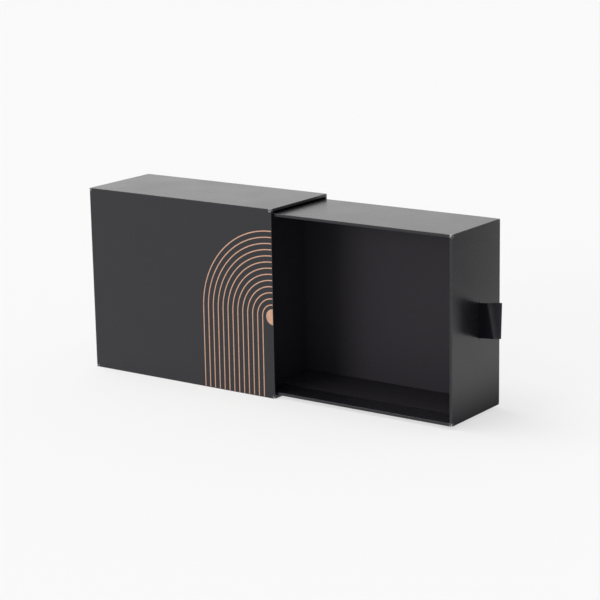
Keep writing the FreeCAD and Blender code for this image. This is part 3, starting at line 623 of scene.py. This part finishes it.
def strip_path():
    """Points from the tip of the front tail, round the loop, to the tip of the rear tail."""
    tail = [Vector((TAIL_LINE, root.y - step * MM, 0)) for step in TAIL_STEPS]
    into_slot = Vector((TAIL_LINE + TAIL_TURN[0], root.y - TAIL_TURN[1], 0))
    turn = [into_slot, Vector((wall_inside, root.y - ROOT_HALF, 0))]
    reaches = [step * MM for step in LOOP_STEPS]
    climb = lean_way + Vector((0, 0, RISE))
    plies = [root + climb * reach - across_way * half_gap(reach) for reach in reaches]
    front_half = tail + turn + plies
    centre = root + climb * (LOOP_REACH - LOOP_HALF)
    fold = []
    for step in range(1, FOLD_STEPS):
        angle = math.pi * step / FOLD_STEPS
        fold.append(centre + lean_way * LOOP_HALF * math.sin(angle) - across_way * LOOP_HALF * math.cos(angle))
    rear_half = [mirrored(point) for point in reversed(plies)] + [flipped(point) for point in reversed(tail + turn)]
    return front_half + fold + rear_half


def mirrored(point):
    """The same place on the loop's other ply."""
    off = (point - root).dot(across_way)
    return point - 2 * off * across_way


def flipped(point):
    """The same place on the other tail."""
    return Vector((point.x, 2 * root.y - point.y, 0))


path = strip_path()
steps = [b - a for a, b in zip(path, path[1:])]

# %% [markdown]
# The first edge comes from a plane primitive that is as high as the ribbon is wide. Its other edge is deleted, and
# then each extrude adds one short piece of strip. It needs no bevel, because the round fold is in the path.

# %% Extrude the strip
nothing_selected()
first = Vector((path[0].x, path[0].y, (loop_low[2] + loop_high[2]) / 2))
bpy.ops.mesh.primitive_plane_add(size=RIBBON_WIDTH, location=first, rotation=(math.radians(90), 0, 0))
ribbon = bpy.context.object
ribbon.name = ribbon.data.name = "pull_ribbon"
bpy.ops.object.transform_apply(location=True, rotation=True, scale=True)
edit(ribbon)
pick(ribbon, "EDGE", lambda e: all(v.co.x > first.x for v in e.verts))
bpy.ops.mesh.delete(type="VERT")
pick(ribbon, "VERT", lambda v: True)
shift((RIBBON_WIDTH / 2, 0, 0))
ALONG = "along_strip"


def note_distance(piece, distance):
    """Writes the distance along the strip, in metres, on the selected points."""
    mesh = bmesh.from_edit_mesh(piece.data)
    layer = mesh.verts.layers.float.get(ALONG) or mesh.verts.layers.float.new(ALONG)
    for vert in mesh.verts:
        if vert.select:
            vert[layer] = distance
    bmesh.update_edit_mesh(piece.data)


note_distance(ribbon, 0.0)
pick(ribbon, "EDGE", lambda e: True)
travelled = 0.0
for step in steps:
    bpy.ops.mesh.extrude_edges_move(TRANSFORM_OT_translate={"value": step})
    travelled += step.length
    note_distance(ribbon, travelled)
print("strip faces", len(bmesh.from_edit_mesh(ribbon.data).faces))

# %% [markdown]
# A thumb has pressed a slanting crease into the loop. The strip turns sharply towards the rear there, and beyond it
# turns part of the way back. Slanting planes bisect the strip outside the wall, close together, and the part beyond
# each plane turns by a few degrees about the line where that plane meets the loop's middle. Small turns in a row
# make a soft crease. Each row of turns is written as its count, the degrees of one turn, and the millimetres between.

# %% Press the slanting crease
CREASE_TOP = 6.2 * MM
CREASE_BOTTOM = 11.6 * MM
CREASE_TURNS = ((5, 5.0, 0.42), (5, -2.4, 0.75))
OFF_WALL = 0.2 * MM
HAIR = 0.002 * MM

crease_top = root + lean_way * CREASE_TOP + Vector((0, 0, loop_high[2]))
crease_bottom = root + lean_way * CREASE_BOTTOM + Vector((0, 0, loop_low[2]))
crease_way = (crease_top - crease_bottom).normalized()
away = lean_way.copy()
point_on_crease = (crease_top + crease_bottom) / 2


def outside_wall(point):
    """True for a point that is clear of the pull wall."""
    return point.x > wall_outside + OFF_WALL


for count, degrees, spacing in CREASE_TURNS:
    for _ in range(count):
        edit(ribbon)
        plane_normal = crease_way.cross(across_way).normalized()
        if plane_normal.dot(away) < 0:
            plane_normal.negate()
        pick(ribbon, "FACE", lambda f: outside_wall(f.calc_center_median()))
        bpy.ops.mesh.bisect(plane_co=point_on_crease, plane_no=plane_normal)
        beyond = pick(
            ribbon,
            "VERT",
            lambda v: outside_wall(v.co) and (v.co - point_on_crease).dot(plane_normal) > HAIR,
        )
        around = Matrix.Rotation(math.radians(degrees), 3, crease_way)
        mesh = bmesh.from_edit_mesh(ribbon.data)
        bmesh.ops.rotate(mesh, cent=point_on_crease, matrix=around, verts=[v for v in mesh.verts if v.select])
        bmesh.update_edit_mesh(ribbon.data)
        away = around @ away
        across_way = around @ across_way
        point_on_crease = point_on_crease + away * spacing * MM
nothing_selected()
tip = [round(max(v.co[axis] for v in ribbon.data.vertices) / MM, 2) for axis in range(3)]
print("points beyond the crease", beyond, "tip at", tip)

# %% [markdown]
# Satin is woven so that long warp threads lie on the face. Light slides along them, so the ribbon mirrors in bands
# across its width. The threads are a fine ripple across the ribbon, the weft is a weaker ripple along it, and both
# are read from the ribbon's own distance and height, so they follow it round the fold. Each edge has a selvedge,
# where the weft turns back and makes a slightly thicker cord.


# %% Weave the satin
WARP_PITCH = 0.24 * MM
WEFT_PITCH = 0.34 * MM
SELVEDGE_START, SELVEDGE_FULL = 1.1 * MM, 0.8 * MM
SATIN_BLACKS = ((0.0038, 0.0035, 0.0060), (0.0074, 0.0069, 0.0104))


def ripple(tree, value, spacing):
    """A wave between 0 and 1 that repeats every spacing metres of a value."""
    turns = calc(tree, "MULTIPLY", value, 2 * math.pi / spacing)
    return calc(tree, "ADD", calc(tree, "MULTIPLY", calc(tree, "SINE", turns), 0.5), 0.5)


satin, satin_tree, satin_shader = new_material("black_satin")
along = add(satin_tree, "ShaderNodeAttribute", {"attribute_name": ALONG})
place = add(satin_tree, "ShaderNodeTexCoord")
parts = add(satin_tree, "ShaderNodeSeparateXYZ")
join(satin_tree, place, "Object", parts, "Vector")
from_middle = calc(satin_tree, "ABSOLUTE", calc(satin_tree, "SUBTRACT", (parts, "Z"), SLOT_MIDDLE.z))
selvedge = spread(
    satin_tree, from_middle, RIBBON_WIDTH / 2 - SELVEDGE_START, RIBBON_WIDTH / 2 - SELVEDGE_FULL, 0.0, 1.0
)

warp = ripple(satin_tree, (parts, "Z"), WARP_PITCH)
weft = ripple(satin_tree, (along, "Fac"), WEFT_PITCH)
weave = calc(satin_tree, "ADD", warp, calc(satin_tree, "MULTIPLY", weft, 0.35))
cord = calc(satin_tree, "MULTIPLY", selvedge, calc(satin_tree, "MULTIPLY", weft, 1.2))
corded = calc(satin_tree, "ADD", weave, cord)
threads = noise(satin_tree, 1400, detail=4, roughness=0.7, stretch=(0.3, 0.3, 2))
thread_tone = spread(satin_tree, threads, 0.3, 0.7, 0.0, 1.0)
black_thread = colour_between(satin_tree, thread_tone, *SATIN_BLACKS)
join(satin_tree, *black_thread, satin_shader, "Base Color")
sheen_band = spread(satin_tree, noise(satin_tree, 300, detail=3, stretch=(0.4, 0.4, 2.5)), 0.3, 0.7, 0.27, 0.36)
join(satin_tree, sheen_band[0], sheen_band[1], satin_shader, "Roughness")
satin_shader.inputs["Specular IOR Level"].default_value = 0.18
join(satin_tree, bump(satin_tree, corded, 0.22, 0.00005), "Normal", satin_shader, "Normal")
dress(ribbon, satin)
print("satin threads across the ribbon:", round(RIBBON_WIDTH / WARP_PITCH))

# %% Give the strip its thickness, smooth its shading and hide the solid ribbon parts
RIBBON_SMOOTH = math.radians(50)

apply_modifier(ribbon, "SOLIDIFY", thickness=RIBBON, offset=0, use_even_offset=True)
edit(ribbon)
pick(ribbon, "FACE", lambda f: True)
bpy.ops.mesh.normals_make_consistent(inside=False)
nothing_selected()
ribbon.select_set(True)
bpy.context.view_layer.objects.active = ribbon
bpy.ops.object.shade_smooth_by_angle(angle=RIBBON_SMOOTH)
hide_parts("ribbon_loop", "ribbon_tail_front", "ribbon_tail_rear")
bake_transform(ribbon)

# %% [markdown]
# ## Keeping the flats flat
# Smooth shading shares one normal among the faces that meet at a point, so a rounded edge would tilt the shading of
# the wide panel beside it, and a mirror-like panel shows that at once. Weighted normals let the widest face decide.

# %% Smooth the folds and weight the normals
COVER_SMOOTH = math.radians(40)

for cover in (sleeve_cover, tray_cover):
    nothing_selected()
    cover.select_set(True)
    bpy.context.view_layer.objects.active = cover
    bpy.ops.object.shade_smooth_by_angle(angle=COVER_SMOOTH)
    apply_modifier(cover, "WEIGHTED_NORMAL", weight=100, keep_sharp=True)
print("shaded", sleeve_cover.name, tray_cover.name)

# %% [markdown]
# ## Lining paper
# The tray's floor and walls and the sleeve's inside are lined with a plain black paper, dyed in the pulp. It has no
# film, so it is a matt dark grey that hardly mirrors. A faint mottle shows where glue lies under it.


# %% The lining's material
LINING_BLACKS = ((0.0170, 0.0156, 0.0190), (0.0226, 0.0208, 0.0248))


def lining_paper(name):
    """Matt black paper, dyed in the pulp, with a faint mottle from the glue."""
    material, tree, shader = new_material(name)
    mottle = noise(tree, 330, detail=5, roughness=0.62)
    black = colour_between(tree, mottle, *LINING_BLACKS)
    join(tree, *black, shader, "Base Color")
    gloss = spread(tree, noise(tree, 240, detail=5, roughness=0.7), 0.3, 0.7, 0.46, 0.54)
    join(tree, gloss[0], gloss[1], shader, "Roughness")
    shader.inputs["Specular IOR Level"].default_value = 0.12
    glue = bump(tree, noise(tree, 260, detail=3, roughness=0.6), 0.06, 0.0002)
    fibre = bump(tree, noise(tree, 2300, detail=3, roughness=0.65, stretch=(0.45, 1, 1)), 0.07, 0.00005, glue)
    join(tree, fibre, "Normal", shader, "Normal")
    return material


lining = lining_paper("black_lining_paper")
for name in ("tray_floor_lining", "tray_wall_lining", "sleeve_lining", "sleeve_end_lining"):
    dress(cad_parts[name], lining)
print("lined:", lining.name)

# %% [markdown]
# ## The end sheet, and the patch over the ribbon's tails
# A separate sheet is glued over the flaps at the sleeve's closed end. It is the same black paper as the cover, and
# its own edges are worn, so it gets its own masks for the wear and the painted edge highlight. Inside the tray, a
# patch of black card hides the ribbon's tails. Card is duller than paper, and its cut edges are a shade lighter.


# %% Dress the end sheet and the patch
CARD_BLACKS = ((0.0060, 0.0058, 0.0070), (0.0115, 0.0110, 0.0125))
CARD_CUT = (0.45, 0.44, 0.43)


def matt_card(name, low, high):
    """Dull black card between two corners, a shade lighter along its cut edges."""
    material, tree, shader = new_material(name)
    edge, _ = edge_and_corner(tree, face_depths(tree, low, high), 0.35, 1.0)
    grain = noise(tree, 1100, detail=5, roughness=0.7)
    black = colour_between(tree, grain, *CARD_BLACKS)
    cut = calc(tree, "MULTIPLY", edge, 0.05)
    join(tree, *colour_between(tree, cut, black, CARD_CUT), shader, "Base Color")
    shader.inputs["Roughness"].default_value = 0.42
    shader.inputs["IOR"].default_value = 1.45
    join(tree, bump(tree, grain, 0.25, 0.0001), "Normal", shader, "Normal")
    return material


end_low, end_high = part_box("sleeve_end_sheet")
patch_low, patch_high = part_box("ribbon_patch")
dress(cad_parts["sleeve_end_sheet"], covering_paper("end_sheet_paper", end_low, end_high, rim_axis=0))
dress(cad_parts["ribbon_patch"], matt_card("black_patch_card", patch_low, patch_high))
print("dressed the end sheet and the patch")

# %% [markdown]
# ## Rose gold foil
# The arches and the disc are hot stamped: a hot die presses a metal film into the paper. The metal is thin and
# follows the paper's grain, so it is a soft mirror and not a polished one. It is warmer where it is thick, and has
# pinholes where the film didn't take.

# %% The foil's material
FOIL_TONES = ((0.600, 0.350, 0.245), (0.700, 0.430, 0.310))
PINHOLE = (0.10, 0.06, 0.045)

foil, foil_tree, foil_shader = new_material("rose_gold_foil")
tone = spread(foil_tree, noise(foil_tree, 260, detail=5, roughness=0.65), 0.32, 0.68, 0.0, 1.0)
metal = colour_between(foil_tree, tone, *FOIL_TONES)
pinholes = spread(foil_tree, noise(foil_tree, 3600, detail=1), 0.70, 0.74, 0.0, 1.0)
join(foil_tree, *colour_between(foil_tree, pinholes, metal, PINHOLE), foil_shader, "Base Color")
foil_shader.inputs["Metallic"].default_value = 1.0
brushed = spread(foil_tree, noise(foil_tree, 900, detail=4, roughness=0.6), 0.3, 0.7, 0.24, 0.38)
join(foil_tree, brushed[0], brushed[1], foil_shader, "Roughness")
pressed = bump(foil_tree, noise(foil_tree, 700, detail=3), 0.18, 0.0001)
grained = bump(foil_tree, noise(foil_tree, 3000, detail=2), 0.12, 0.00004, pressed)
join(foil_tree, grained, "Normal", foil_shader, "Normal")
for name in ("foil_arches", "foil_disc"):
    dress(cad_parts[name], foil)
print("foil:", foil.name)

# %% [markdown]
# ## Greyboard and tape
# The boards are pressed from waste paper. They would show only if the cover tore, and they are finished all the
# same, as a warm grey with long fibres and dark specks. Brown gummed paper tape, with long fibres too, holds each
# corner of the boards together.

# %% Dress the boards and tapes
BOARD_GREYS = ((0.27, 0.25, 0.22), (0.45, 0.43, 0.39))
SPECK = (0.08, 0.08, 0.09)
TAPE_BROWNS = ((0.44, 0.32, 0.20), (0.62, 0.48, 0.32))

greyboard, board_tree, board_shader = new_material("greyboard")
long_fibres = noise(board_tree, 500, detail=6, roughness=0.7, stretch=(0.25, 1, 0.6))
board_grey = colour_between(board_tree, long_fibres, *BOARD_GREYS)
specks = spread(board_tree, noise(board_tree, 1500, detail=2), 0.66, 0.72, 0.0, 0.8)
join(board_tree, *colour_between(board_tree, specks, board_grey, SPECK), board_shader, "Base Color")
board_shader.inputs["Roughness"].default_value = 0.88
join(board_tree, bump(board_tree, long_fibres, 0.35, 0.0002), "Normal", board_shader, "Normal")

gummed_tape, tape_tree, tape_shader = new_material("gummed_tape")
tape_fibres = noise(tape_tree, 900, detail=6, roughness=0.7, stretch=(0.2, 1, 1))
kraft = colour_between(tape_tree, tape_fibres, *TAPE_BROWNS)
join(tape_tree, *kraft, tape_shader, "Base Color")
tape_gloss = spread(tape_tree, tape_fibres, 0.3, 0.7, 0.50, 0.68)
join(tape_tree, tape_gloss[0], tape_gloss[1], tape_shader, "Roughness")
join(tape_tree, bump(tape_tree, tape_fibres, 0.25, 0.0001), "Normal", tape_shader, "Normal")

boards = [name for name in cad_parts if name.endswith("_board")]
tapes = [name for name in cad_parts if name.endswith("_tapes")]
for name in boards:
    dress(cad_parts[name], greyboard)
for name in tapes:
    dress(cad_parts[name], gummed_tape)
print("boards:", len(boards), "tapes:", len(tapes))

# %% [markdown]
# ## Cards for the reflections
# In a studio, cards stand beside a glossy box, so that each side mirrors something else and the box's form reads. A
# dark card stands to the right and behind, for the pull end, and a narrow one lies at the foot of that end. A bright
# one stands in front, and puts a light edge on each fold and a streak on the ribbon. Only reflections see them: they
# cast no shadow, and the camera looks through. Each card gives off its own light instead of being lit. The card at
# the foot is a painted shadow: it stands for the shade on the floor at the foot of the pull end, as the end mirrors
# it, and fades across, from dark at the wall to light.


# %% Stand the cards
def reflection_card(name, place, size, turn, glow, tilt=90, glow_right=None):
    """A glowing card, upright unless it is tilted otherwise, that is seen only by glossy rays. Its glow may fade
    across, as the painted shadow at the foot does.
    """
    nothing_selected()
    angles = (math.radians(tilt), 0, math.radians(turn))
    bpy.ops.mesh.primitive_plane_add(size=1, location=place, rotation=angles)
    card = bpy.context.object
    card.scale = (size[0], size[1], 1)
    card.name = name
    material, tree, shader = new_material(name + "_finish")
    shader.inputs["Base Color"].default_value = (0.02, 0.02, 0.02, 1)
    shader.inputs["Specular IOR Level"].default_value = 0.0
    shader.inputs["Emission Color"].default_value = (1, 1, 1, 1)
    if glow_right is None:
        shader.inputs["Emission Strength"].default_value = glow
    else:
        across = add(tree, "ShaderNodeSeparateXYZ")
        join(tree, add(tree, "ShaderNodeTexCoord"), "Object", across, "Vector")
        fade = spread(tree, (across, "X"), -0.5, 0.5, glow, glow_right)
        join(tree, fade[0], fade[1], shader, "Emission Strength")
    dress(card, material)
    for kind in ("camera", "diffuse", "shadow", "transmission"):
        setattr(card, "visible_" + kind, False)
    return card


dark_card = reflection_card("dark_card", place=(0.744, 0.025, 0.22), size=(0.9, 0.9), turn=-36, glow=0.30)
# The card at the foot is a painted shadow on the floor, seen only in the pull end's reflection: its glow fades from
# dark at the wall to light.
foot_shadow_card = reflection_card(
    "foot_shadow_card", place=(0.2610, 0.05, 0.0006), size=(0.055, 0.18), turn=0, glow=0.12, tilt=0, glow_right=0.94
)
bright_card = reflection_card("bright_card", place=(0.27, -0.92, 0.10), size=(0.28, 0.28), turn=0, glow=5.0)
print("cards:", dark_card.name, foot_shadow_card.name, bright_card.name)

# %% [markdown]
# ## The floor
# A white floor under bright light is close to pure white, and only faint shadows show on it. The floor's shader
# gives off most of its own light and takes the rest from the room, so the shadows keep a fifth of their depth.

# %% A floor for the room
FLOOR_GLOW = 0.634
FLOOR_WHITE = 0.20
FLOOR_SIZE = 30

nothing_selected()
bpy.ops.mesh.primitive_plane_add(size=FLOOR_SIZE, location=(0, 0, 0))
floor = bpy.context.object
floor.name = "studio_floor"
floor_white, _, floor_shader = new_material("studio_white")
floor_shader.inputs["Specular IOR Level"].default_value = 0.0
floor_shader.inputs["Roughness"].default_value = 1.0
floor_shader.inputs["Base Color"].default_value = (FLOOR_WHITE, FLOOR_WHITE, FLOOR_WHITE, 1)
floor_shader.inputs["Emission Color"].default_value = (1, 1, 1, 1)
floor_shader.inputs["Emission Strength"].default_value = FLOOR_GLOW
dress(floor, floor_white)
print("floor glow", FLOOR_GLOW)
